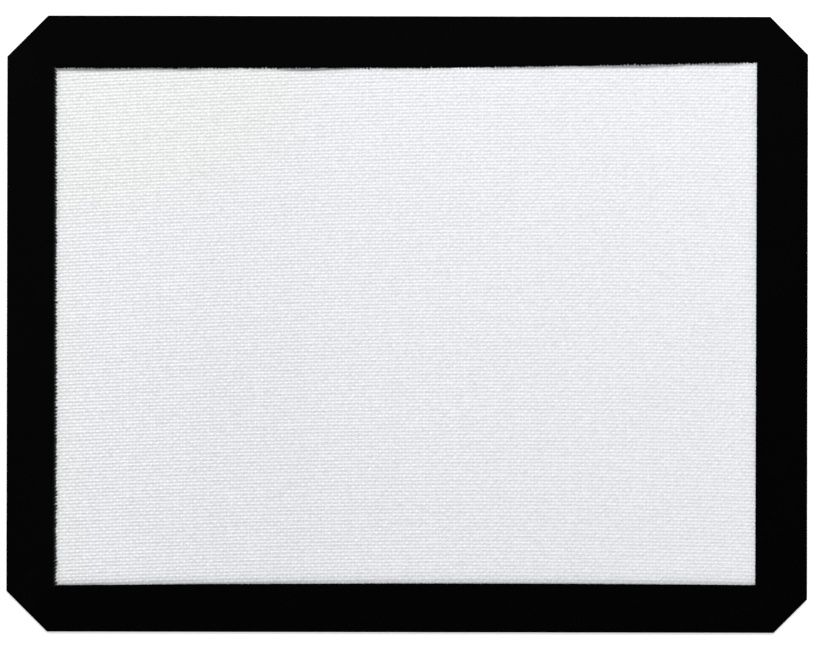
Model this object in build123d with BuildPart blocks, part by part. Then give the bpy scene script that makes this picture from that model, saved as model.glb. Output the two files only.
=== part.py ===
from build123d import *
import math
import os

# Silicone baking mat, lying flat with its front face up.
# The origin is the middle of the underside: X runs along the long side, Y along the short side
# towards the far edge, and Z points up. All lengths are in millimetres.

# Outline of the mat
mat_length = 279.4
mat_width = 215.0
corner_round = 0.8

# How far each corner is cut away along both of its sides, at 45 degrees
cut_far_left = 14.3
cut_far_right = 13.2
cut_near_left = 14.2
cut_near_right = 11.7

# Width of the black border round the window. The far and near edges of the window are printed
# with a slight bow, so each has three widths: at its left end, its middle and its right end.
border_left = 17.2
border_right = 17.8
border_far_left = 18.4
border_far_middle = 18.0
border_far_right = 16.1
border_near_left = 16.4
border_near_middle = 17.1
border_near_right = 16.7

# Layers, from the middle outwards
cloth_thickness = 0.30
coat_thickness = 0.20
border_thickness = 0.10

# Bead of silicone that seals the cut edge of the layers. It is rounded on its outer side.
seal_width = 0.40
seal_round_share = 0.9

# Heights of the layers above the surface that the mat lies on
back_border_bottom = 0
back_coat_bottom = back_border_bottom + border_thickness
cloth_bottom = back_coat_bottom + coat_thickness
front_coat_bottom = cloth_bottom + cloth_thickness
front_border_bottom = front_coat_bottom + coat_thickness
mat_thickness = front_border_bottom + border_thickness

# The bead's rounding stays within its width and within half its height
seal_round = seal_round_share * min(seal_width, mat_thickness / 2)


def mat_corners(inset):
    """The eight corners of the mat's outline, with every side moved inwards by inset."""
    half_length = mat_length / 2 - inset
    half_width = mat_width / 2 - inset
    # Moving a 45 degree cut inwards by inset shortens its legs by this much
    cut_loss = inset * (2 - math.sqrt(2))
    far_left = cut_far_left - cut_loss
    far_right = cut_far_right - cut_loss
    near_left = cut_near_left - cut_loss
    near_right = cut_near_right - cut_loss
    return [
        (-half_length, half_width - far_left),
        (far_left - half_length, half_width),
        (half_length - far_right, half_width),
        (half_length, half_width - far_right),
        (half_length, near_right - half_width),
        (half_length - near_right, -half_width),
        (near_left - half_length, -half_width),
        (-half_length, near_left - half_width),
    ]


def window_sides():
    """The ends and the middle of the window's far side and near side, from left to right."""
    left = border_left - mat_length / 2
    right = mat_length / 2 - border_right
    middle = (left + right) / 2
    half_width = mat_width / 2
    far_side = [
        (left, half_width - border_far_left),
        (middle, half_width - border_far_middle),
        (right, half_width - border_far_right),
    ]
    near_side = [
        (left, border_near_left - half_width),
        (middle, border_near_middle - half_width),
        (right, border_near_right - half_width),
    ]
    return far_side, near_side


os.makedirs("parts", exist_ok=True)

# Woven glass-fibre cloth
with BuildPart() as glass_cloth:
    with BuildSketch(Plane.XY.offset(cloth_bottom)):
        with BuildLine():
            Polyline(*mat_corners(seal_width), close=True)
        make_face()
    extrude(amount=cloth_thickness)
glass_cloth.part.label = "glass_cloth"
export_step(glass_cloth.part, "parts/glass_cloth.step")

# Milky silicone coats on both faces of the cloth
for side, coat_bottom in (("front", front_coat_bottom), ("back", back_coat_bottom)):
    with BuildPart() as coat:
        with BuildSketch(Plane.XY.offset(coat_bottom)):
            with BuildLine():
                Polyline(*mat_corners(seal_width), close=True)
            make_face()
        extrude(amount=coat_thickness)
    coat.part.label = side + "_coat"
    export_step(coat.part, "parts/" + side + "_coat.step")

# Black silicone borders printed round the window on both faces
far_side, near_side = window_sides()
for side, border_bottom in (("front", front_border_bottom), ("back", back_border_bottom)):
    with BuildPart() as border:
        with BuildSketch(Plane.XY.offset(border_bottom)):
            with BuildLine():
                Polyline(*mat_corners(seal_width), close=True)
            make_face()
            with BuildLine():
                Spline(*far_side)
                Line(far_side[-1], near_side[-1])
                Spline(*near_side)
                Line(near_side[0], far_side[0])
            make_face(mode=Mode.SUBTRACT)
        extrude(amount=border_thickness)
    border.part.label = side + "_border"
    export_step(border.part, "parts/" + side + "_border.step")

# Silicone bead round the cut edge
with BuildPart() as edge_seal:
    with BuildSketch():
        with BuildLine():
            Polyline(*mat_corners(0), close=True)
        make_face()
        fillet(vertices(), radius=corner_round)
        with BuildLine():
            Polyline(*mat_corners(seal_width), close=True)
        make_face(mode=Mode.SUBTRACT)
    extrude(amount=mat_thickness)
    front_rim = faces().sort_by(Axis.Z)[-1].outer_wire().edges()
    back_rim = faces().sort_by(Axis.Z)[0].outer_wire().edges()
    fillet(front_rim + back_rim, radius=seal_round)
edge_seal.part.label = "edge_seal"
export_step(edge_seal.part, "parts/edge_seal.step")
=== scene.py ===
import math

import bmesh
import bpy
import numpy as np
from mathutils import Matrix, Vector


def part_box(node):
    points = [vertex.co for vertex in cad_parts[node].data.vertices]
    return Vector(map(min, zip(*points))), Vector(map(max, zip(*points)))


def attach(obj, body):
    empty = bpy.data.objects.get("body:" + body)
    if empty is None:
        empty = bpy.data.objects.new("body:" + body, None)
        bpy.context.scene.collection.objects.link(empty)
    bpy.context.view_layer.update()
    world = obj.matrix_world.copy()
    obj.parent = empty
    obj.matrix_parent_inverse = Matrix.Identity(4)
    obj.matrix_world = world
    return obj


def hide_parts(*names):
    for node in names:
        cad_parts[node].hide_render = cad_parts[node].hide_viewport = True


# A silicone baking mat lying flat with its front face up, seen from straight above.
# Everything is in metres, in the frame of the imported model: X runs along the long side,
# Y along the short side towards the far edge, and Z points up.

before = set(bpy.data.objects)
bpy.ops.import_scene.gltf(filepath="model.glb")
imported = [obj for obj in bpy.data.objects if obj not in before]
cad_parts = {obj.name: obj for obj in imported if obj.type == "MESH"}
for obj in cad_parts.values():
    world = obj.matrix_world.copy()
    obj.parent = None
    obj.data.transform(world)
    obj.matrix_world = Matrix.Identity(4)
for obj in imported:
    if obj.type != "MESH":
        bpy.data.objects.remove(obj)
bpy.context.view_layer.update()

MM = 0.001

# Weave of the glass cloth. It is counted in warp columns along X and weft rows along Y, from
# the mat's centre. The weft was pulled a little out of square when the cloth was coated, so its
# rows are bowed. Columns and rows both lie a little closer together on the left.
COLUMN_PITCH = 1.179 * MM
COLUMN_FAN = 0.084
ROW_PITCH = 1.233 * MM
ROW_RISE = 2.04 * MM
ROW_BOW = 2.08 * MM
ROW_FAN = 0.08

# How far single yarns lie from their lines, and the slow waves of the weft
COLUMN_WANDER = 0.014 * MM
ROW_WANDER = 0.018 * MM
ROW_WAVE = 0.04 * MM
ROW_WAVE_LENGTH = 30 * MM

# Relief of the coat over the yarns, which is deeper on the left, where the coat is thinner. The
# warp's crowns are lower than the weft's, and no two crowns are equally high.
RELIEF = 0.127 * MM
RELIEF_RIGHT_SHARE = 0.61
WARP_CROWN_SHARE = 0.35
CROWN_SPREAD_SHARE = 0.16
CROWN_HIGHEST_SHARE = 1.2

# Points across each weft row on a coat's outer face. The back lies on the floor and needs fewer.
FRONT_POINTS_PER_ROW = 3
BACK_POINTS_PER_ROW = 2

# Rounded inner edge of the printed border, between its foot on the coat and its flat face: how
# far each point of its section lies from the foot, how far it lies below the flat face, and how
# far outside the window the flat face starts
EDGE_SECTION = ((0.075 * MM, 0.030 * MM), (0.25 * MM, 0.008 * MM))
FLAT_START = 1.2 * MM

# How far the ink spreads into the window: on its left and right sides at their near and far
# ends, on its near side at both ends, and on its far side, where it spreads further in one place
SIDE_SPREAD_NEAR = 0.40 * MM
SIDE_SPREAD_FAR = 0.12 * MM
NEAR_SPREAD_LEFT = -0.10 * MM
NEAR_SPREAD_RIGHT = 0.12 * MM
FAR_SPREAD = -0.05 * MM
FAR_SPREAD_MORE = 0.28 * MM
FAR_SPREAD_PLACE = 15 * MM
FAR_SPREAD_LENGTH = 42 * MM

# Teeth of ink in the grooves between the yarns: their depth on each side, and as shares of it how
# much they differ, how much their middle drifts and how long one can be. The outline has this
# many steps for each tooth.
TEETH_LEFT = 0.43 * MM
TEETH_RIGHT = 0.06 * MM
TEETH_FAR = 0.38 * MM
TEETH_NEAR = 0.10 * MM
TOOTH_SPREAD_SHARE = 0.5
TOOTH_DRIFT_SHARE = 0.25
TOOTH_LONGEST_SHARE = 1.2
STEPS_PER_TOOTH = 8

# Bead round the cut edge: its steps along a side and round a corner, the points of its half-round
# section, and its width, which has several waves round the mat
BEAD_STEP = 4 * MM
BEAD_CORNER_STEPS = 6
BEAD_SECTION_POINTS = 9
BEAD_WAVES = (7, 16, 31, 47)
BEAD_MEAN_SHARE = 0.96
BEAD_SWING_SHARE = 0.04

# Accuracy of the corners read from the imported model, and the distance at which points are joined
SAME_PLACE = 0.01 * MM
TOUCHING = 0.001 * MM

# The border is wider than this all round
BORDER_LEAST = 10 * MM

SEED = 11


# Outlines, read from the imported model

def top_corners(node):
    """The x and y of the node's corners on its highest face."""
    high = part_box(node)[1]
    points = np.array([v.co[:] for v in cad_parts[node].data.vertices])
    top = points[points[:, 2] > high.z - SAME_PLACE, :2]
    return np.unique(np.round(top / SAME_PLACE), axis=0) * SAME_PLACE


def in_order(points):
    """The points in anticlockwise order round the mat's centre."""
    return points[np.argsort(np.arctan2(points[:, 1], points[:, 0]))]


def window_corners():
    """The x and y of the front border's corners on the window's outline."""
    corners = top_corners("front_border")
    layers_half = np.array(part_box("front_coat")[1].xy)
    return corners[np.all(np.abs(corners) < layers_half - BORDER_LEAST, axis=1)]


def bowed_edge(corners):
    """A curve of the second degree along one bowed edge of the window, for np.polyval."""
    return np.polyfit(corners[:, 0], corners[:, 1], 2)


LAYER_CORNERS = in_order(top_corners("front_coat"))
WINDOW_CORNERS = window_corners()
WINDOW_LEFT = WINDOW_CORNERS[:, 0].min()
WINDOW_RIGHT = WINDOW_CORNERS[:, 0].max()
WINDOW_HALF = (WINDOW_RIGHT - WINDOW_LEFT) / 2
FAR_EDGE = bowed_edge(WINDOW_CORNERS[WINDOW_CORNERS[:, 1] > 0])
NEAR_EDGE = bowed_edge(WINDOW_CORNERS[WINDOW_CORNERS[:, 1] < 0])


# Weave coordinates

def row_bow(x):
    """How far a weft row that crosses the mat's centre line at Y = 0 lies from it at x."""
    share = x / WINDOW_HALF
    return ROW_RISE * share - ROW_BOW * share**2


def row_line(row, x):
    """Y of a weft row at x."""
    return row * ROW_PITCH * (1 + ROW_FAN * x) + row_bow(x)


def row_at(x, y):
    """The weft row, with its fraction, at a point."""
    return (y - row_bow(x)) / (ROW_PITCH * (1 + ROW_FAN * x))


def column_line(column):
    """X of a warp column."""
    return COLUMN_PITCH * column * (1 + COLUMN_FAN * COLUMN_PITCH / 2 * column)


def column_at(x):
    """The warp column, with its fraction, at x."""
    return (np.sqrt(1 + 2 * COLUMN_FAN * x) - 1) / (COLUMN_FAN * COLUMN_PITCH)


def relief_share(x):
    """How deep the relief is at x, as a share of its depth at the window's left side."""
    return np.interp(x, [WINDOW_LEFT, WINDOW_RIGHT], [1, RELIEF_RIGHT_SHARE])


# Parts of meshes

def make_piece(name, points, faces, material, smooth):
    """A mesh object from an array of points and a list of faces. smooth counts its first faces."""
    mesh = bpy.data.meshes.new(name)
    mesh.from_pydata(points.tolist(), [], faces)
    mesh.update()
    mesh.polygons.foreach_set("use_smooth", np.arange(len(faces)) < smooth)
    mesh.materials.append(material)
    piece = bpy.data.objects.new(name, mesh)
    bpy.context.collection.objects.link(piece)
    return piece


def add_vectors(piece, name, vectors):
    """Keeps a vector for each of the piece's points, for its material to read."""
    layer = piece.data.attributes.new(name, "FLOAT_VECTOR", "POINT")
    layer.data.foreach_set("vector", np.asarray(vectors, float).ravel())


def join_same_points(piece):
    """Joins points that lie in the same place, and drops the faces between them."""
    shape = bmesh.new()
    shape.from_mesh(piece.data)
    bmesh.ops.remove_doubles(shape, verts=shape.verts, dist=TOUCHING)
    shape.to_mesh(piece.data)
    shape.free()


def weave_vectors(points):
    """The warp column, the weft row and the relief's share at each point."""
    x, y = points[:, :2].T
    return np.stack([column_at(x), row_at(x, y), relief_share(x)], axis=1)


def edge_vectors(points):
    """The distances to the window's nearer upright edge, to its far edge and to its near edge."""
    x, y = points[:, :2].T
    to_side = np.minimum(x - WINDOW_LEFT, WINDOW_RIGHT - x)
    return np.stack([to_side, np.polyval(FAR_EDGE, x) - y, y - np.polyval(NEAR_EDGE, x)], axis=1)


def layer_faces(node):
    """Whether a layer faces up, the heights of its outer and inner face, and the way inwards."""
    low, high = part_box(node)
    if node.startswith("front"):
        return True, high.z, low.z, -1
    return False, low.z, high.z, 1


def at_height(outline, z):
    """An outline's points at a height, which is one number or one for each point."""
    return np.column_stack([outline, np.broadcast_to(z, len(outline))])


def layer_sides():
    """The two ends of each side of the layers' outline, anticlockwise."""
    return zip(LAYER_CORNERS, np.roll(LAYER_CORNERS, -1, axis=0))


def onto_layers(points):
    """The points moved straight away from the mat's centre, onto the layers' outline."""
    nearest = np.full(len(points), np.inf)
    for here, ahead in layer_sides():
        outwards = np.array([ahead[1] - here[1], here[0] - ahead[0]])
        towards = points @ outwards
        reach = np.full(len(points), np.inf)
        np.divide(here @ outwards, towards, out=reach, where=towards > 0)
        nearest = np.minimum(nearest, reach)
    moved = points * nearest[:, None]
    for corner in LAYER_CORNERS:
        moved[np.argmin(np.linalg.norm(moved - corner, axis=1))] = corner
    return moved


def strip(lower, upper):
    """Quads between two closed loops of point numbers, seen from outside an anticlockwise outline."""
    return np.stack([lower, np.roll(lower, -1), np.roll(upper, -1), upper], axis=1).tolist()


def fan(centre, loop):
    """Triangles from a centre point to a closed loop of point numbers, seen from below."""
    return np.stack([np.full(len(loop), centre), np.roll(loop, -1), loop], axis=1).tolist()


def ring(loops):
    """The points and faces of a ring round the mat, from one closed loop per point of its section."""
    points = np.concatenate(loops)
    numbers = np.arange(len(points)).reshape(len(loops), -1)
    faces = []
    for this_loop, next_loop in zip(numbers, np.roll(numbers, -1, axis=0)):
        faces += strip(next_loop, this_loop)
    return points, faces


def turned_over(faces):
    """The same faces, seen from the other side."""
    return [face[::-1] for face in faces]


# Coats

def yarns_in_window():
    """The numbers of the warp columns and the weft rows that cover the window, with some to spare."""
    first = math.floor(column_at(WINDOW_LEFT)) - 1
    last = math.ceil(column_at(WINDOW_RIGHT)) + 1
    columns = np.arange(first, last + 1)
    along = np.linspace(WINDOW_LEFT, WINDOW_RIGHT)
    first = math.floor(row_at(along, np.polyval(NEAR_EDGE, along)).min())
    last = math.ceil(row_at(along, np.polyval(FAR_EDGE, along)).max()) + 1
    rows = np.arange(first, last + 1)
    return columns, rows


def weave_grid(rng, points_per_row):
    """A grid of points on the yarns, as arrays of the warp column, the weft row, x and y."""
    columns, rows = yarns_in_window()
    # A row's points start in the groove on its near side
    phases = np.arange(points_per_row) / points_per_row - 0.5
    row = (rows[:, None] + phases).ravel()
    x = column_line(columns) + rng.normal(0, COLUMN_WANDER, len(columns))
    wander = np.repeat(rng.normal(0, ROW_WANDER, len(rows)), points_per_row)
    start = np.repeat(rng.uniform(0, 2 * math.pi, len(rows)), points_per_row)
    column, row = np.meshgrid(columns, row)
    x = np.broadcast_to(x, row.shape)
    wave = ROW_WAVE * np.sin(2 * math.pi * x / ROW_WAVE_LENGTH + start[:, None])
    y = row_line(row, x) + wander[:, None] + wave
    return column, row, x, y


def relief_heights(rng, column, row, points_per_row):
    """How high the coat stands at each point: 0 in a groove, and about 1 on the weft's crowns."""
    yarn = np.floor(row + 0.5)
    weft_over = (column + yarn) % 2 == 0
    crown = np.where(weft_over, 1.0, WARP_CROWN_SHARE)
    spread = rng.normal(0, CROWN_SPREAD_SHARE, (row.shape[0] // points_per_row, row.shape[1]))
    crown = crown + np.repeat(spread, points_per_row, axis=0)
    in_groove = np.isclose(row + 0.5, yarn)
    return np.where(in_groove, 0.0, np.clip(crown, 0, CROWN_HIGHEST_SHARE))


def coat_mesh(grid, outer, inner):
    """A coat that faces up, from a grid of points on its woven outer face.

    It gives the points, the faces of the grid, and the rest: a flat rim from the grid out to the
    layers' outline, the coat's side, and its inner face.
    """
    number = np.arange(grid[..., 0].size).reshape(grid.shape[:2])
    woven = np.stack([number[:-1, 1:], number[1:, 1:], number[1:, :-1], number[:-1, :-1]], axis=-1)
    woven = woven.reshape(-1, 4).tolist()
    edge = np.concatenate([number[0, :-1], number[:-1, -1], number[-1, :0:-1], number[:0:-1, 0]])
    grid_points = grid.reshape(-1, 3)
    outline = onto_layers(grid_points[edge, :2])
    centre = [[0, 0, inner]]
    points = np.concatenate([
        grid_points, at_height(outline, outer), at_height(outline, inner), centre,
    ])
    outer_loop = number.size + np.arange(len(edge))
    inner_loop = outer_loop + len(edge)
    rim = strip(outer_loop, edge)
    side = strip(inner_loop, outer_loop)
    inner_face = fan(len(points) - 1, inner_loop)
    return points, woven, rim + side + inner_face


def make_coat(node, name, material, points_per_row):
    """A silicone coat: its outer face follows the yarns in the window, and is flat under the border."""
    facing_up, outer, inner, inwards = layer_faces(node)
    rng = np.random.default_rng(SEED + facing_up)
    column, row, x, y = weave_grid(rng, points_per_row)
    # Where the weft is over on the front it is under on the back
    column = column + (not facing_up)
    height = relief_heights(rng, column, row, points_per_row)
    z = outer + inwards * RELIEF * relief_share(x) * (height.max() - height)
    points, woven, rest = coat_mesh(np.stack([x, y, z], axis=-1), outer, inner)
    faces = woven + rest
    if not facing_up:
        faces = turned_over(faces)
    piece = make_piece(name, points, faces, material, len(woven))
    weave = weave_vectors(points)
    weave[:row.size, 0] = column.ravel()
    weave[:row.size, 1] = row.ravel()
    add_vectors(piece, "weave", weave)
    add_vectors(piece, "edges", edge_vectors(points))
    add_vectors(piece, "place", points - [WINDOW_LEFT, 0, 0])
    return piece


# Borders

def teeth(rng, yarn, depth):
    """How much further the ink reaches into the window between two yarns, and less far over one."""
    wave = -np.cos(2 * math.pi * yarn) / 2
    # Each tooth, and each gap between two teeth, has its own size and its own drift
    halves = np.floor(2 * yarn + 0.5).astype(int)
    sizes = rng.normal(1, TOOTH_SPREAD_SHARE, halves.max() - halves.min() + 1)
    drift = rng.normal(0, TOOTH_DRIFT_SHARE, len(sizes))
    places = 2 * yarn - halves.min()
    numbers = np.arange(len(sizes))
    uneven = wave * np.interp(places, numbers, sizes) + np.interp(places, numbers, drift)
    return depth * np.clip(uneven, -TOOTH_LONGEST_SHARE, TOOTH_LONGEST_SHARE)


def side_points(x, y):
    """The points of one side of the window, from its x and its y. Either may be one number."""
    return np.column_stack(np.broadcast_arrays(x, y))


def plain_sides():
    """Points on the window's near, right, far and left side, each from its left or near end."""
    x = np.linspace(WINDOW_LEFT, WINDOW_RIGHT, round(2 * WINDOW_HALF / COLUMN_PITCH * STEPS_PER_TOOTH))
    near_y = np.polyval(NEAR_EDGE, x)
    far_y = np.polyval(FAR_EDGE, x)
    # The corners belong to the near and far sides, and the upright sides end short of them
    count = round((far_y[0] - near_y[0]) / ROW_PITCH * STEPS_PER_TOOTH)
    right_y = np.linspace(near_y[-1] + SIDE_SPREAD_FAR, far_y[-1] - SIDE_SPREAD_FAR, count)[1:-1]
    left_y = np.linspace(near_y[0] + SIDE_SPREAD_FAR, far_y[0] - SIDE_SPREAD_FAR, count)[1:-1]
    return (
        side_points(x, near_y), side_points(WINDOW_RIGHT, right_y),
        side_points(x, far_y), side_points(WINDOW_LEFT, left_y),
    )


def inked_sides(rng, near, right, far, left):
    """The window's four sides where the ink has spread past them, with its teeth between the yarns."""
    x = near[:, 0]
    near_x = np.linspace(WINDOW_LEFT + SIDE_SPREAD_NEAR, WINDOW_RIGHT - SIDE_SPREAD_NEAR, len(x))
    far_x = np.linspace(WINDOW_LEFT + SIDE_SPREAD_FAR, WINDOW_RIGHT - SIDE_SPREAD_FAR, len(x))
    near_spread = np.linspace(NEAR_SPREAD_LEFT, NEAR_SPREAD_RIGHT, len(x))
    further = np.exp(-(((x - FAR_SPREAD_PLACE) / FAR_SPREAD_LENGTH) ** 2))
    far_spread = FAR_SPREAD + FAR_SPREAD_MORE * further
    side_spread = np.linspace(SIDE_SPREAD_NEAR, SIDE_SPREAD_FAR, len(right) + 2)[1:-1]
    near_y = near[:, 1] + near_spread + teeth(rng, column_at(x), TEETH_NEAR)
    far_y = far[:, 1] - far_spread - teeth(rng, column_at(x), TEETH_FAR)
    right_y = right[:, 1]
    left_y = left[:, 1]
    right_x = WINDOW_RIGHT - side_spread - teeth(rng, row_at(WINDOW_RIGHT, right_y), TEETH_RIGHT)
    left_x = WINDOW_LEFT + side_spread + teeth(rng, row_at(WINDOW_LEFT, left_y), TEETH_LEFT)
    return (
        side_points(near_x, near_y), side_points(right_x, right_y),
        side_points(far_x, far_y), side_points(left_x, left_y),
    )


def around(near, right, far, left):
    """One anticlockwise outline from four sides, each with its points from its left or near end."""
    return np.concatenate([near, right, far[::-1], left[::-1]])


def window_outlines(rng):
    """The window's outline, plain and as the ink has spread, and which points are on its left side."""
    sides = plain_sides()
    plain = around(*sides)
    inked = around(*inked_sides(rng, *sides))
    # The left side's points come last
    on_left = np.arange(len(plain)) >= len(plain) - len(sides[-1])
    return plain, inked, on_left


def grown(outline, distance):
    """The window's outline moved outwards, away from the window's centre."""
    low = outline.min(axis=0)
    high = outline.max(axis=0)
    centre = (low + high) / 2
    half = (high - low) / 2
    return centre + (outline - centre) * (1 + distance / half)


def make_border(node, name, material):
    """A printed border: a flat film with a rounded inner edge that runs down onto the coat."""
    facing_up, outer, inner, inwards = layer_faces(node)
    plain, inked, on_left = window_outlines(np.random.default_rng(SEED + facing_up))
    # The ink's foot lies as deep as the grooves between the yarns
    foot = inner + inwards * RELIEF * relief_share(inked[:, 0]) * CROWN_HIGHEST_SHARE
    loops = [at_height(inked, foot)]
    from_edge = [0]
    for reach, drop in EDGE_SECTION:
        loops.append(at_height(grown(inked, reach), outer + inwards * drop))
        from_edge.append(reach)
    rounded_faces = len(loops) * len(inked)
    flat_start = grown(plain, FLAT_START)
    outline = onto_layers(flat_start)
    for flat_loop, z in ((flat_start, outer), (outline, outer), (outline, inner)):
        loops.append(at_height(flat_loop, z))
        from_edge.append(FLAT_START)
    points, faces = ring(loops)
    if not facing_up:
        faces = turned_over(faces)
    piece = make_piece(name, points, faces, material, rounded_faces)
    add_vectors(piece, "weave", weave_vectors(points))
    # The ink thins out towards its edge on the left
    from_edge = np.repeat(from_edge, len(inked))
    thinning = np.tile(on_left, len(loops))
    add_vectors(piece, "ink", np.stack([from_edge, thinning, thinning], axis=1))
    return piece


# Bead round the cut edge

def outward_angle(here, ahead):
    """The angle of the direction straight out of an anticlockwise outline's side."""
    return math.atan2(*(ahead - here)[::-1]) - math.pi / 2


def outline_stations():
    """Points along the layers' outline, and the direction out of it at each.

    A corner has several points in one place, whose directions turn round it.
    """
    stations = []
    directions = []
    before = np.roll(LAYER_CORNERS, 1, axis=0)
    for behind, (here, ahead) in zip(before, layer_sides()):
        turn_from = outward_angle(behind, here)
        turn = (outward_angle(here, ahead) - turn_from) % (2 * math.pi)
        for k in range(BEAD_CORNER_STEPS + 1):
            angle = turn_from + turn * k / BEAD_CORNER_STEPS
            stations.append(here)
            directions.append((math.cos(angle), math.sin(angle)))
        steps = max(1, round(np.linalg.norm(ahead - here) / BEAD_STEP))
        for k in range(1, steps):
            stations.append(here + (ahead - here) * k / steps)
            directions.append(directions[-1])
    return np.array(stations), np.array(directions)


def bead_width_share(count):
    """How wide the bead is at each of its stations, as a share of its greatest width."""
    rng = np.random.default_rng(SEED)
    along = np.linspace(0, 2 * math.pi, count, endpoint=False)
    waves = [np.sin(along * k + rng.uniform(0, 2 * math.pi)) for k in BEAD_WAVES]
    return BEAD_MEAN_SHARE + BEAD_SWING_SHARE * np.mean(waves, axis=0)


def make_edge_seal(name, material):
    """The bead round the cut edge: a half-round section carried round the layers' outline."""
    low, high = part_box("edge_seal")
    width = high.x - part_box("front_coat")[1].x
    middle = (low.z + high.z) / 2
    half_height = (high.z - low.z) / 2
    stations, directions = outline_stations()
    reach = width * bead_width_share(len(stations))
    loops = []
    for angle in np.linspace(math.pi / 2, -math.pi / 2, BEAD_SECTION_POINTS):
        out = reach[:, None] * math.cos(angle) * directions
        loops.append(at_height(stations + out, middle + half_height * math.sin(angle)))
    points, faces = ring(loops)
    # The last faces are the flat inner side
    bead = make_piece(name, points, faces, material, len(faces) - len(stations))
    join_same_points(bead)
    return bead


# Cloth

def inside_layers(x, y):
    """Which points lie inside the layers' outline."""
    within = np.ones(np.shape(x), bool)
    for here, ahead in layer_sides():
        along = ahead - here
        within &= along[0] * (y - here[1]) >= along[1] * (x - here[0])
    return within


def cloth_grid():
    """Crossings all over the cloth and beyond, as arrays of the warp column, the weft row, x and y."""
    low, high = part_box("glass_cloth")
    reach = math.ceil(-column_at(low.x)) + 1
    span = math.ceil((high.y + ROW_RISE + ROW_BOW) / ROW_PITCH) + 2
    column, row = np.meshgrid(np.arange(-reach, reach + 1), np.arange(-span, span + 1))
    x = column_line(column)
    return column, row, x, row_line(row, x)


def cells_on_cloth(x, y):
    """Quads between neighbouring crossings, seen from above, that lie inside the layers' outline."""
    kept = inside_layers(x, y)
    cells = kept[:-1, :-1] & kept[:-1, 1:] & kept[1:, 1:] & kept[1:, :-1]
    number = np.arange(x.size).reshape(x.shape)
    corners = [number[:-1, :-1], number[:-1, 1:], number[1:, 1:], number[1:, :-1]]
    return np.stack([corner[cells] for corner in corners], axis=-1)


def walls(cells, step):
    """Quads down from the cells' sides that have no neighbour.

    The number of a point on the lower face is that of the point above it plus the step.
    """
    sides = np.stack([cells, np.roll(cells, -1, axis=1)], axis=-1).reshape(-1, 2)
    taken = {(here, ahead) for here, ahead in sides.tolist()}
    free = [(here, ahead) for here, ahead in taken if (ahead, here) not in taken]
    return sorted((ahead, here, here + step, ahead + step) for here, ahead in free)


def make_cloth(name, material):
    """The woven cloth: both its faces, one point for each crossing, cut off between the yarns."""
    low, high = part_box("glass_cloth")
    middle = (low.z + high.z) / 2
    half_height = (high.z - low.z) / 2
    column, row, x, y = cloth_grid()
    weft_over = (column + row) % 2 == 0
    top = middle + half_height * np.where(weft_over, 1.0, WARP_CROWN_SHARE)
    bottom = middle - half_height * np.where(weft_over, WARP_CROWN_SHARE, 1.0)
    points = np.concatenate([
        np.stack([x, y, top], axis=-1).reshape(-1, 3),
        np.stack([x, y, bottom], axis=-1).reshape(-1, 3),
    ])
    upper = cells_on_cloth(x, y)
    lower = upper[:, ::-1] + row.size
    faces = np.concatenate([upper, lower, walls(upper, row.size)])
    # Only the points on the cloth are kept
    used, renumbered = np.unique(faces, return_inverse=True)
    points = points[used]
    faces = renumbered.reshape(faces.shape).tolist()
    piece = make_piece(name, points, faces, material, len(upper) + len(lower))
    add_vectors(piece, "weave", weave_vectors(points))
    return piece


# Materials

# Milky silicone, and the warmer tint in one corner of the window
MILKY = (0.802, 0.814, 0.848)
WARM = (0.802, 0.818, 0.814)
MILKY_ROUGHNESS = 0.7
MILKY_ROUGHNESS_SWING = 0.05
MILKY_ROUGHNESS_PATCH = 8 * MM
MILKY_SPECULAR = 0.10

# Painted shade in the grooves between rows and between columns, and a painted highlight on the crowns:
# how much greyer and how much whiter the coat is drawn there
GROOVE_PAINTED_SHADE = 0.12
GAP_PAINTED_SHADE = 0.055
CROWN_PAINTED_HIGHLIGHT = 0.063

# How far the crowns lean over on the left, and how much more where there is less relief
LEAN_LEFT = 0.15
LEAN_CHANGE = 1.2

# Roundness of the yarns between the points of the mesh, the softness of their crossings, and
# the coat's fine grain
YARN_ROUND = 0.05 * MM
YARN_SOFTNESS = 0.2
GRAIN = 0.15
GRAIN_SIZE = 0.25 * MM

# How much crossings, rows, columns and fibres differ in whiteness
CROSSING_SPREAD = 0.03
ROW_SPREAD = 0.004
COLUMN_SPREAD = 0.008
FIBRE_SPREAD = 0.16
FIBRE_SIZE = 0.45 * MM
FIBRE_STRETCH = 1.3

# Soft clouds all over the window, a duller band across it, with its distance from the window's
# left edge and its half width, and a brighter strip at the right edge
CLOUD = 0.008
CLOUD_SIZE = 45 * MM
DULL_BAND = 0.017
DULL_BAND_PLACE = 74 * MM
DULL_BAND_WIDTH = 34 * MM
BRIGHT_RIGHT = 0.018
BRIGHT_RIGHT_REACH = 25 * MM

# How much the coat is darkened at each edge of the window, partly by ink showing through and partly as
# painted shade under the border's raised edge, how far that reaches, and the factor that it doesn't go
# below
HAZE_SIDE = 0.24
HAZE_SIDE_REACH = 1.0 * MM
HAZE_FAR = 0.60
HAZE_FAR_REACH = 0.85 * MM
HAZE_NEAR = 0.45
HAZE_NEAR_REACH = 1.1 * MM
HAZE_DARKEST = 0.36

# Ink along the far edge: its uneven patches, and its smears, each with its place from the
# window's left edge and how far it reaches
PATCH_SIZE = 12 * MM
PATCH_SWING = 3.0
PATCH_LEAST = -1.0
FAR_SMEARS = ((10 * MM, 18 * MM), (88 * MM, 8 * MM), (204 * MM, 15 * MM))
SMEAR_STRENGTH = 2.8

# The warmer corner's length and width, the shares of them at which its tint starts to fall and
# ends, and a fainter tint along the window's left and far edges, with how far it reaches
WARM_CORNER_LENGTH = 95 * MM
WARM_CORNER_WIDTH = 55 * MM
WARM_CORNER_FULL_SHARE = 0.7
WARM_CORNER_END_SHARE = 1.2
WARM_LEFT = 12 * MM
WARM_LEFT_SHARE = 0.8
WARM_FAR = 30 * MM
WARM_FAR_SHARE = 0.25

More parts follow.
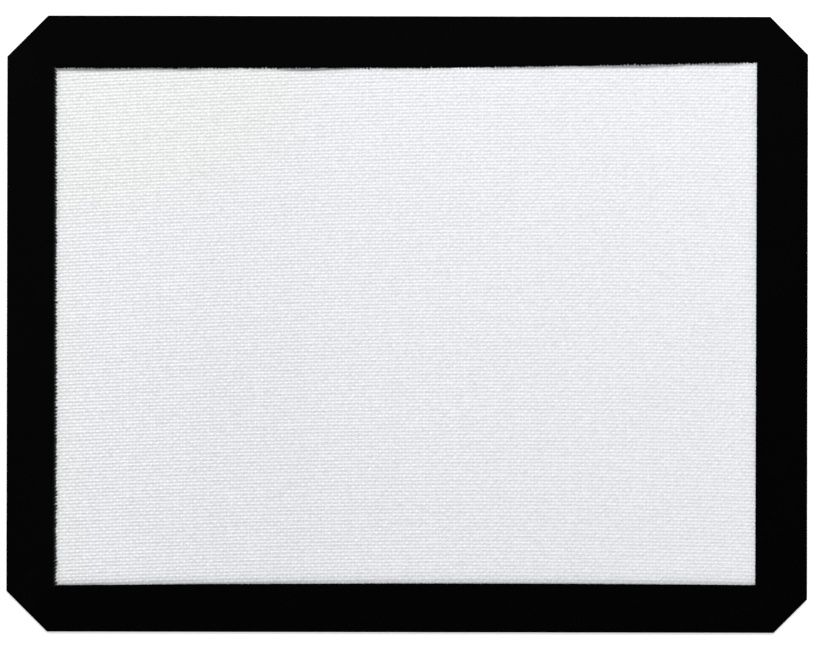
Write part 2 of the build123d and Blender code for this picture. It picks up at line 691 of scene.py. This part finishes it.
# Black silicone, a little uneven in wide patches, with fine orange peel
BLACK = (0.0005, 0.0005, 0.0005)
BLACK_PATCH_SIZE = 12 * MM
BLACK_LEAST = 0.7
BLACK_SWING = 0.6
BLACK_ROUGHNESS = 0.5
BLACK_ROUGHNESS_SWING = 0.04
BLACK_ROUGHNESS_PATCH = 5 * MM
BLACK_SPECULAR = 0.03
PEEL = 0.008 * MM
PEEL_SIZE = 0.6 * MM
PEEL_DETAIL = 3.0
PRINTED_PEEL_SHARE = 0.4

# How far from its edge the ink is thin, and how much of the coat shows at the edge itself
INK_THIN_REACH = 0.17 * MM
INK_THIN_SHARE = 0.42

# Glass-fibre cloth
GLASS = (0.85, 0.86, 0.85)
# Painted shade in the gaps between the yarns
GLASS_GAP_PAINTED_SHADE = 0.2
GLASS_ROUGHNESS = 0.5
GLASS_ROUGHNESS_SWING = 0.08
GLASS_ROUGHNESS_PATCH = 3 * MM
GLASS_SPECULAR = 0.5
FILAMENT = 0.01 * MM
FILAMENT_SIZE = 0.15 * MM
FILAMENT_STRENGTH = 0.5

# Numbers of the sockets for vectors on a Mix node, where several sockets share a name
MIX_SHARE = 0
MIX_FIRST = 4
MIX_SECOND = 5
MIX_RESULT = 1


class Shader:
    """A new material on one Principled shader, and short ways to add nodes to it."""

    def __init__(self, name, roughness, specular):
        self.material = bpy.data.materials.new(name)
        self.material.use_nodes = True
        self.tree = self.material.node_tree
        self.principled = self.tree.nodes["Principled BSDF"]
        self.principled.inputs["Roughness"].default_value = roughness
        self.principled.inputs["Specular IOR Level"].default_value = specular

    def add(self, kind, inputs=(), **settings):
        """A node of that kind. inputs gives its sockets' values, or the sockets that feed them."""
        node = self.tree.nodes.new(kind)
        for name, value in settings.items():
            setattr(node, name, value)
        for name, value in dict(inputs).items():
            if isinstance(value, bpy.types.NodeSocket):
                self.tree.links.new(value, node.inputs[name])
            else:
                node.inputs[name].default_value = value
        return node

    def math(self, operation, *values):
        """The result of a sum on sockets or numbers."""
        return self.add("ShaderNodeMath", enumerate(values), operation=operation).outputs[0]

    def wave(self, phase):
        """From 0 at whole numbers of the phase to 1 halfway between them."""
        turn = self.math("MULTIPLY", phase, 2 * math.pi)
        return self.math("MULTIPLY_ADD", self.math("COSINE", turn), -0.5, 0.5)

    def plateau(self, phase):
        """1 round whole numbers of the phase, falling to 0 halfway between them."""
        wave = self.wave(phase)
        return self.math("SUBTRACT", 1.0, self.math("MULTIPLY", wave, wave))

    def crossings(self, column, row, share):
        """About 1 where the weft passes over the warp and -1 where it passes under."""
        half_turns = [self.math("MULTIPLY", phase, math.pi) for phase in (column, row)]
        upright = self.math("MULTIPLY", *(self.math("COSINE", turn) for turn in half_turns))
        # The yarns' twist makes the crowns lean over, and more so where the relief is shallow
        slanted = self.math("MULTIPLY", *(self.math("SINE", turn) for turn in half_turns))
        lean = self.math("MULTIPLY_ADD", share, -LEAN_CHANGE, LEAN_LEFT + LEAN_CHANGE)
        return self.math("MULTIPLY_ADD", slanted, lean, upright)

    def yarns(self, column, row, crossings):
        """The height of the woven yarns, from 0 to 1 on the crown of the weft."""
        over = self.math("MULTIPLY_ADD", crossings, 0.5, 0.5)
        under = self.math("MULTIPLY_ADD", crossings, -WARP_CROWN_SHARE / 2, WARP_CROWN_SHARE / 2)
        weft = self.math("MULTIPLY", over, self.math("SUBTRACT", 1.0, self.wave(row)))
        warp = self.math("MULTIPLY", under, self.math("SUBTRACT", 1.0, self.wave(column)))
        return self.math("SMOOTH_MAX", weft, warp, YARN_SOFTNESS)

    def attribute(self, name):
        """The three parts of a vector that is kept for the mesh's points."""
        vector = self.add("ShaderNodeAttribute", attribute_name=name).outputs["Vector"]
        return self.add("ShaderNodeSeparateXYZ", {"Vector": vector}).outputs

    def noise(self, size, detail=2.0, stretch=1.0):
        """Soft noise from 0 to 1, with features of about that size, stretched along X."""
        place = self.add("ShaderNodeTexCoord").outputs["Object"]
        if stretch != 1.0:
            inputs = {0: place, 1: (1 / stretch, 1, 1)}
            place = self.add("ShaderNodeVectorMath", inputs, operation="MULTIPLY").outputs[0]
        inputs = {"Vector": place, "Scale": 1 / size, "Detail": detail}
        return self.add("ShaderNodeTexNoise", inputs).outputs["Fac"]

    def fade(self, distance, reach):
        """1 at an edge and less with the distance from it."""
        fall = self.math("EXPONENT", self.math("MULTIPLY", distance, -1 / reach))
        return self.math("MINIMUM", fall, 1.0)

    def spread(self, value):
        """One number as all three parts of a vector."""
        return self.add("ShaderNodeCombineXYZ", {"X": value, "Y": value, "Z": value}).outputs[0]

    def mix(self, plain, other, share):
        """One colour with a share of another."""
        inputs = {MIX_SHARE: share, MIX_FIRST: plain, MIX_SECOND: other}
        return self.add("ShaderNodeMix", inputs, data_type="VECTOR").outputs[MIX_RESULT]

    def colour(self, plain, factor):
        """Sets the base colour to a colour times a factor."""
        inputs = {0: plain, 1: self.spread(factor)}
        scaled = self.add("ShaderNodeVectorMath", inputs, operation="MULTIPLY").outputs[0]
        self.tree.links.new(scaled, self.principled.inputs["Base Color"])

    def roughness(self, middle, swing, size):
        """Sets a roughness that drifts about its middle."""
        drift = self.math("MULTIPLY_ADD", self.noise(size), 2 * swing, middle - swing)
        self.tree.links.new(drift, self.principled.inputs["Roughness"])

    def bump(self, height, depth, strength=1.0):
        """Sets the fine relief: height from 0 to 1 stands for that depth."""
        inputs = {"Height": height, "Distance": depth, "Strength": strength}
        normal = self.add("ShaderNodeBump", inputs).outputs["Normal"]
        self.tree.links.new(normal, self.principled.inputs["Normal"])


def weave_tone_and_painted_shade(shader, column, row, crossings, share):
    """A factor on the coat's colour over the weave, 1 on average: painted shade in the grooves, a
    painted highlight on the crowns, and random tone of crossings, rows, columns and fibres.
    """
    # Painted shade in the grooves between rows and between columns
    shade = shader.math("MULTIPLY_ADD", shader.wave(row), -GROOVE_PAINTED_SHADE, GROOVE_PAINTED_SHADE / 2)
    gap_shade = shader.math("MULTIPLY_ADD", shader.wave(column), -GAP_PAINTED_SHADE, GAP_PAINTED_SHADE / 2)
    shade = shader.math("ADD", shade, gap_shade)
    # A painted highlight where the weft passes over the warp
    shade = shader.math("MULTIPLY_ADD", crossings, CROWN_PAINTED_HIGHLIGHT, shade)
    factor = shader.math("MULTIPLY_ADD", shade, share, 1.0)
    # No two rows, columns or crossings are equally white
    this_column = shader.math("ROUND", column)
    this_row = shader.math("ROUND", row)
    on_column = shader.plateau(column)
    on_row = shader.plateau(row)
    on_both = shader.math("MULTIPLY", on_column, on_row)
    # The chance is read at x and y, where a number stands in for the direction that doesn't count
    for spread, x, y, on_yarn in (
        (CROSSING_SPREAD, this_column, this_row, on_both),
        (ROW_SPREAD, 0.0, this_row, on_row),
        (COLUMN_SPREAD, this_column, 0.5, on_column),
    ):
        place = shader.add("ShaderNodeCombineXYZ", {"X": x, "Y": y}).outputs[0]
        chance = shader.add("ShaderNodeTexWhiteNoise", {"Vector": place}).outputs["Value"]
        offset = shader.math("MULTIPLY_ADD", chance, 2 * spread, -spread)
        factor = shader.math("MULTIPLY_ADD", offset, on_yarn, factor)
    fibres = shader.noise(FIBRE_SIZE, detail=0.0, stretch=FIBRE_STRETCH)
    uneven = shader.math("MULTIPLY_ADD", fibres, 2 * FIBRE_SPREAD, -FIBRE_SPREAD)
    return shader.math("ADD", factor, uneven)


def slow_drift(shader):
    """A factor on the coat's colour along the mat: duller in one band, brighter at the right."""
    along = shader.attribute("place")[0]
    from_band = shader.math("SUBTRACT", along, DULL_BAND_PLACE)
    band = shader.fade(shader.math("MULTIPLY", from_band, from_band), DULL_BAND_WIDTH**2)
    right = shader.fade(shader.math("SUBTRACT", 2 * WINDOW_HALF, along), BRIGHT_RIGHT_REACH)
    bright = shader.math("MULTIPLY_ADD", right, BRIGHT_RIGHT, 1.0)
    return shader.math("MULTIPLY_ADD", band, -DULL_BAND, bright)


def far_edge_ink(shader):
    """How much ink there is along the window's far edge, where some places have more than others."""
    along = shader.attribute("place")[0]
    patches = shader.noise(PATCH_SIZE, detail=1.0)
    ink = shader.math("MULTIPLY_ADD", patches, PATCH_SWING, PATCH_LEAST)
    for place, reach in FAR_SMEARS:
        away = shader.math("ABSOLUTE", shader.math("SUBTRACT", along, place))
        ink = shader.math("MULTIPLY_ADD", shader.fade(away, reach), SMEAR_STRENGTH, ink)
    return shader.math("MAXIMUM", ink, 0.0)


def ink_and_painted_edge_shade(shader, factor):
    """The factor, darkened close to the border: partly ink showing through the silicone, partly painted
    shade under the border's raised edge.
    """
    to_side, to_far, to_near = shader.attribute("edges")
    far_strength = shader.math("MULTIPLY", far_edge_ink(shader), -HAZE_FAR)
    # The far edge's ink and painted shade stay dark for a yarn's width and then end
    far_share = shader.fade(shader.math("MULTIPLY", to_far, to_far), HAZE_FAR_REACH**2)
    for share, strength in (
        (shader.fade(to_side, HAZE_SIDE_REACH), -HAZE_SIDE),
        (far_share, far_strength),
        (shader.fade(to_near, HAZE_NEAR_REACH), -HAZE_NEAR),
    ):
        # Ink and painted shade darken the coat together here
        dark = shader.math("MULTIPLY_ADD", share, strength, 1.0)
        factor = shader.math("MULTIPLY", factor, shader.math("MAXIMUM", dark, HAZE_DARKEST))
    return factor


def warmth(shader):
    """How warm the coat is: 1 in the window's far left corner, and a little along those two edges."""
    along = shader.attribute("place")[0]
    to_far = shader.attribute("edges")[1]
    across = shader.math("MULTIPLY", along, 1 / WARM_CORNER_LENGTH)
    down = shader.math("MULTIPLY", to_far, 1 / WARM_CORNER_WIDTH)
    place = shader.add("ShaderNodeCombineXYZ", {"X": across, "Y": down}).outputs[0]
    away = shader.add("ShaderNodeVectorMath", {0: place}, operation="LENGTH").outputs["Value"]
    inputs = {
        "Value": away, "From Min": WARM_CORNER_FULL_SHARE, "From Max": WARM_CORNER_END_SHARE,
        "To Min": 1.0, "To Max": 0.0,
    }
    fall = shader.add("ShaderNodeMapRange", inputs, interpolation_type="SMOOTHSTEP")
    left = shader.math("MULTIPLY", shader.fade(along, WARM_LEFT), WARM_LEFT_SHARE)
    far = shader.math("MULTIPLY", shader.fade(to_far, WARM_FAR), WARM_FAR_SHARE)
    return shader.math("MAXIMUM", fall.outputs["Result"], shader.math("MAXIMUM", left, far))


def milky_silicone():
    """Milky silicone over glass cloth, with a painted highlight on the yarns, painted shade in the
    grooves, and darker by the border from ink and painted shade.
    """
    shader = Shader("milky_silicone", MILKY_ROUGHNESS, MILKY_SPECULAR)
    column, row, share = shader.attribute("weave")
    crossings = shader.crossings(column, row, share)
    factor = weave_tone_and_painted_shade(shader, column, row, crossings, share)
    cloudy = shader.math("MULTIPLY_ADD", shader.noise(CLOUD_SIZE), 2 * CLOUD, 1 - CLOUD)
    cloudy = shader.math("MULTIPLY", cloudy, slow_drift(shader))
    # Darker near the border: ink showing through, and painted shade under the border's raised edge
    factor = ink_and_painted_edge_shade(shader, shader.math("MULTIPLY", factor, cloudy))
    shader.colour(shader.mix(MILKY, WARM, warmth(shader)), factor)
    shader.roughness(MILKY_ROUGHNESS, MILKY_ROUGHNESS_SWING, MILKY_ROUGHNESS_PATCH)
    # The yarns' roundness, between the points of the mesh
    height = shader.yarns(column, row, crossings)
    height = shader.math("MULTIPLY_ADD", shader.noise(GRAIN_SIZE), GRAIN, height)
    shader.bump(shader.math("MULTIPLY", height, share), YARN_ROUND)
    return shader.material


def black_shader(name):
    """A shader for black silicone without its relief, and the factor for its colour."""
    shader = Shader(name, BLACK_ROUGHNESS, BLACK_SPECULAR)
    factor = shader.math("MULTIPLY_ADD", shader.noise(BLACK_PATCH_SIZE), BLACK_SWING, BLACK_LEAST)
    shader.roughness(BLACK_ROUGHNESS, BLACK_ROUGHNESS_SWING, BLACK_ROUGHNESS_PATCH)
    return shader, factor


def bead_silicone():
    """Black silicone of the bead: satin, with fine orange peel."""
    shader, factor = black_shader("black_silicone_bead")
    shader.colour(BLACK, factor)
    shader.bump(shader.noise(PEEL_SIZE, PEEL_DETAIL), PEEL)
    return shader.material


def printed_silicone():
    """Black silicone of the borders: satin, with the weave faint under its fine orange peel."""
    shader, factor = black_shader("black_silicone_printed")
    # The coat shows through where the ink thins out
    from_edge, thinning, _ = shader.attribute("ink")
    thin = shader.math("MULTIPLY", shader.fade(from_edge, INK_THIN_REACH), thinning)
    coat_share = shader.math("MULTIPLY", thin, INK_THIN_SHARE)
    shader.colour(shader.mix(BLACK, MILKY, coat_share), factor)
    column, row, share = shader.attribute("weave")
    yarns = shader.yarns(column, row, shader.crossings(column, row, share))
    peel = shader.noise(PEEL_SIZE, PEEL_DETAIL)
    shader.bump(shader.math("MULTIPLY_ADD", peel, PRINTED_PEEL_SHARE, yarns), PEEL)
    return shader.material


def glass_cloth():
    """Glass-fibre cloth: white yarns with painted shade in the gaps, a silky shine and fine filaments.
    """
    shader = Shader("glass_cloth", GLASS_ROUGHNESS, GLASS_SPECULAR)
    column, row, _ = shader.attribute("weave")
    gaps = shader.math("MAXIMUM", shader.wave(column), shader.wave(row))
    # Painted shade in the gaps between the yarns
    shader.colour(GLASS, shader.math("MULTIPLY_ADD", gaps, -GLASS_GAP_PAINTED_SHADE, 1.0))
    shader.roughness(GLASS_ROUGHNESS, GLASS_ROUGHNESS_SWING, GLASS_ROUGHNESS_PATCH)
    shader.bump(shader.noise(FILAMENT_SIZE), FILAMENT, FILAMENT_STRENGTH)
    return shader.material


# The mat

def dress(piece, node):
    """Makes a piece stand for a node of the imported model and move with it."""
    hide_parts(node)
    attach(piece, "root")


milky = milky_silicone()
printed = printed_silicone()
front_coat = make_coat("front_coat", "front_coat_silicone", milky, FRONT_POINTS_PER_ROW)
back_coat = make_coat("back_coat", "back_coat_silicone", milky, BACK_POINTS_PER_ROW)
front_border = make_border("front_border", "front_border_print", printed)
back_border = make_border("back_border", "back_border_print", printed)
edge_seal = make_edge_seal("edge_seal_bead", bead_silicone())
cloth = make_cloth("woven_glass_cloth", glass_cloth())

dress(front_coat, "front_coat")
dress(back_coat, "back_coat")
dress(front_border, "front_border")
dress(back_border, "back_border")
dress(edge_seal, "edge_seal")
dress(cloth, "glass_cloth")


# Floor

FLOOR_RADIUS = 1.2
FLOOR_SIDES = 64
FLOOR_GREY = 0.8
FLOOR_GLOW = 0.53


def seen_directly(nodes, links):
    """1 for camera, glossy and transmission rays, and 0 for the rest."""
    rays = nodes.new("ShaderNodeLightPath")
    seen = rays.outputs["Is Camera Ray"]
    for name in ("Is Glossy Ray", "Is Transmission Ray"):
        either = nodes.new("ShaderNodeMath")
        either.operation = "MAXIMUM"
        links.new(seen, either.inputs[0])
        links.new(rays.outputs[name], either.inputs[1])
        seen = either.outputs[0]
    return seen


def floor_material():
    """A pale floor that shows white, and keeps the mat's shadow."""
    material = bpy.data.materials.new("floor")
    material.use_nodes = True
    nodes = material.node_tree.nodes
    links = material.node_tree.links
    nodes.clear()
    diffuse = nodes.new("ShaderNodeBsdfDiffuse")
    diffuse.inputs["Color"].default_value = (FLOOR_GREY, FLOOR_GREY, FLOOR_GREY, 1)
    level = nodes.new("ShaderNodeMath")
    level.operation = "MULTIPLY"
    links.new(seen_directly(nodes, links), level.inputs[0])
    level.inputs[1].default_value = FLOOR_GLOW
    glow = nodes.new("ShaderNodeEmission")
    links.new(level.outputs[0], glow.inputs["Strength"])
    both = nodes.new("ShaderNodeAddShader")
    links.new(diffuse.outputs[0], both.inputs[0])
    links.new(glow.outputs[0], both.inputs[1])
    output = nodes.new("ShaderNodeOutputMaterial")
    links.new(both.outputs[0], output.inputs["Surface"])
    return material


def make_floor():
    """A wide round floor at the mat's underside."""
    angles = np.linspace(0, 2 * math.pi, FLOOR_SIDES, endpoint=False)
    outline = FLOOR_RADIUS * np.column_stack([np.cos(angles), np.sin(angles)])
    faces = [tuple(range(FLOOR_SIDES))]
    floor = make_piece("floor", at_height(outline, 0.0), faces, floor_material(), 0)


# Light

# Where the backdrop's white starts to fade and where it has faded, as Z of a direction of length 1
BACKDROP_TOP = 0.50
BACKDROP_FADE = 0.75
BACKDROP_LEVEL = 1.0
CEILING_LEVEL = 0.02
KEY_DISTANCE = 2.2
KEY_ELEVATION = math.radians(36)
KEY_AZIMUTH = math.radians(90)
KEY_WIDTH = 2.4
KEY_HEIGHT = 1.0
KEY_LEVEL = 0.623
# A lamp this large lights the mat less than a small one of the same power
KEY_SIZE_SHARE = 0.83


def make_world():
    """A studio: a white backdrop all round up to a third of the way up, and a dark ceiling."""
    world = bpy.data.worlds.new("studio")
    bpy.context.scene.world = world
    world.use_nodes = True
    nodes = world.node_tree.nodes
    links = world.node_tree.links
    background = nodes["Background"]
    background.inputs["Color"].default_value = (1, 1, 1, 1)
    direction = nodes.new("ShaderNodeTexCoord")
    split = nodes.new("ShaderNodeSeparateXYZ")
    links.new(direction.outputs["Generated"], split.inputs["Vector"])
    level = nodes.new("ShaderNodeMapRange")
    level.interpolation_type = "SMOOTHSTEP"
    level.inputs["From Min"].default_value = BACKDROP_TOP
    level.inputs["From Max"].default_value = BACKDROP_FADE
    level.inputs["To Min"].default_value = BACKDROP_LEVEL
    level.inputs["To Max"].default_value = CEILING_LEVEL
    links.new(split.outputs["Z"], level.inputs["Value"])
    links.new(level.outputs["Result"], background.inputs["Strength"])


def make_key():
    """A wide soft lamp on the far side."""
    lamp = bpy.data.lights.new("key", "AREA")
    lamp.shape = "RECTANGLE"
    lamp.size = KEY_WIDTH
    lamp.size_y = KEY_HEIGHT
    # The power that gives a white surface lying flat at the mat's centre this level
    lamp.energy = KEY_LEVEL / KEY_SIZE_SHARE * math.pi**2 * KEY_DISTANCE**2 / math.sin(KEY_ELEVATION)
    key = bpy.data.objects.new("key", lamp)
    along_floor = math.cos(KEY_ELEVATION)
    towards = Vector((
        along_floor * math.cos(KEY_AZIMUTH),
        along_floor * math.sin(KEY_AZIMUTH),
        math.sin(KEY_ELEVATION),
    ))
    key.location = towards * KEY_DISTANCE
    key.rotation_euler = towards.to_track_quat("Z", "Y").to_euler()
    bpy.context.collection.objects.link(key)


# Camera

# The photograph's size and the mat's place in it, in pixels, and how far the mat is turned there
PHOTO_WIDTH = 816
PHOTO_HEIGHT = 653
MAT_LENGTH_PIXELS = 800.8
MAT_CENTRE_PIXEL = (407.2, 324.2)
MAT_TURN = math.radians(0.11)
# Focal length and width of the sensor, in millimetres
LENS = 85.0
SENSOR = 36.0


def make_camera():
    """A camera with a long lens straight above the mat, framed as in the photograph."""
    data = bpy.data.cameras.new("camera")
    data.lens = LENS
    data.sensor_width = SENSOR
    camera = bpy.data.objects.new("camera", data)
    mat_low, mat_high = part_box("edge_seal")
    pixel = (mat_high.x - mat_low.x) / MAT_LENGTH_PIXELS
    distance = PHOTO_WIDTH * pixel * LENS / SENSOR
    camera.location = (
        (PHOTO_WIDTH / 2 - MAT_CENTRE_PIXEL[0]) * pixel,
        (MAT_CENTRE_PIXEL[1] - PHOTO_HEIGHT / 2) * pixel,
        (mat_low.z + mat_high.z) / 2 + distance,
    )
    camera.rotation_euler = (0, 0, MAT_TURN)
    bpy.context.collection.objects.link(camera)
    bpy.context.scene.camera = camera


make_floor()
make_world()
make_key()
make_camera()
bpy.context.scene.view_settings.view_transform = "Standard"
